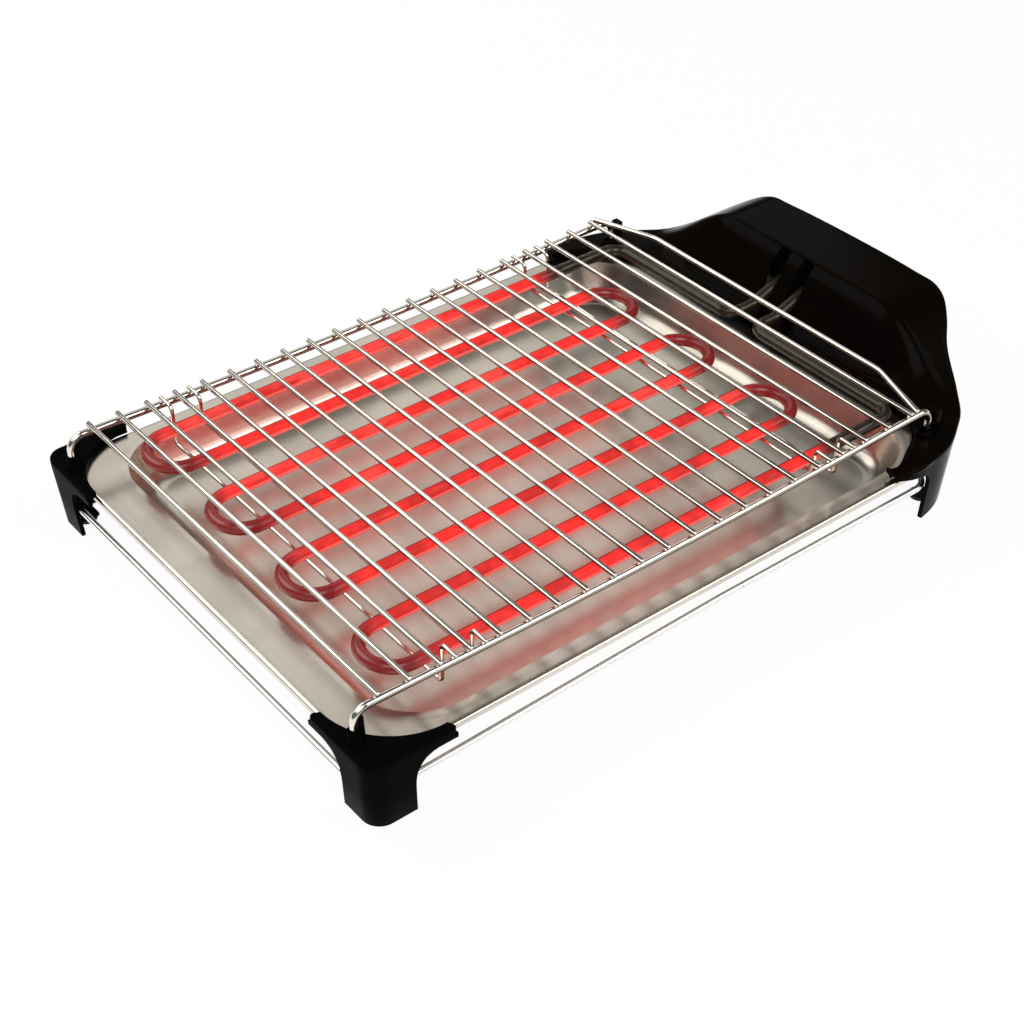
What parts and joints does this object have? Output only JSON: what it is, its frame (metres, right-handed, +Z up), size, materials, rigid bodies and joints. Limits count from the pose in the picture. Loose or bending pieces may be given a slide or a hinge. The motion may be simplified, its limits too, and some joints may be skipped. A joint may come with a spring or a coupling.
{
  "type": "electric table grill",
  "caption": "Open electric table grill: wire grate over a tubular heating element and drip tray, on black corner feet and a rear terminal housing; grate and element tilt up together.",
  "frame": {"origin": "centre of the bounding box at table level", "axes": "+X along the grill towards the housing, +Y across it, +Z up"},
  "size_m": [0.4511, 0.299, 0.0795],
  "materials": {
    "chrome": "bright chromed wire",
    "bright_sheet": "bright finely brushed sheet",
    "element_tube": "matt oxidised tube that glows red in use",
    "satin_black": "satin moulded plastic",
    "gloss_black": "high gloss moulded plastic",
    "zinc": "zinc plated steel",
    "ceramic": "unglazed ceramic",
    "rubber": "moulded rubber",
    "sleeve": "woven glass sleeve over wire"
  },
  "bodies": {
    "base": {"drip_tray": "bright_sheet", "front_foot_near": "satin_black", "front_foot_far": "satin_black", "low_wire": "chrome", "housing_shell": "gloss_black", "housing_base": "satin_black", "hinge_bracket_near": "zinc", "hinge_bracket_far": "zinc", "terminal_strip": "ceramic", "thermal_cutout": "zinc", "lead_far": "sleeve", "lead_near": "sleeve", "lead_supply": "sleeve", "cable_gland": "satin_black", "foot_pad_near": "rubber", "foot_pad_far": "rubber", "rear_pad_near": "rubber", "rear_pad_far": "rubber", "foot_screw_near": "zinc", "foot_screw_far": "zinc", "base_screw_1": "zinc", "base_screw_2": "zinc", "base_screw_3": "zinc", "base_screw_4": "zinc"},
    "grate": {"cross_wire_01": "chrome", "cross_wire_02": "chrome", "cross_wire_03": "chrome", "cross_wire_04": "chrome", "cross_wire_05": "chrome", "cross_wire_06": "chrome", "cross_wire_07": "chrome", "cross_wire_08": "chrome", "cross_wire_09": "chrome", "cross_wire_10": "chrome", "cross_wire_11": "chrome", "cross_wire_12": "chrome", "cross_wire_13": "chrome", "cross_wire_14": "chrome", "cross_wire_15": "chrome", "cross_wire_16": "chrome", "cross_wire_17": "chrome", "cross_wire_18": "chrome", "cross_wire_19": "chrome", "cross_wire_20": "chrome", "cross_wire_21": "chrome", "hanger_wire_1": "chrome", "hanger_wire_2": "chrome", "hanger_wire_3": "chrome", "hanger_wire_4": "chrome", "side_rod_near": "chrome", "side_rod_far": "chrome", "handle_wire": "chrome", "heating_element": "element_tube", "terminal_block": "satin_black", "terminal_pin_far": "zinc", "terminal_pin_near": "zinc"}
  },
  "joints": [
    {"name": "grate_tilt", "type": "hinge", "parent": "base", "child": "grate", "pos_m": [0.188, 0.0045, 0.0625], "axis": [0, 1, 0], "range_deg": [0, 70]}
  ]
}
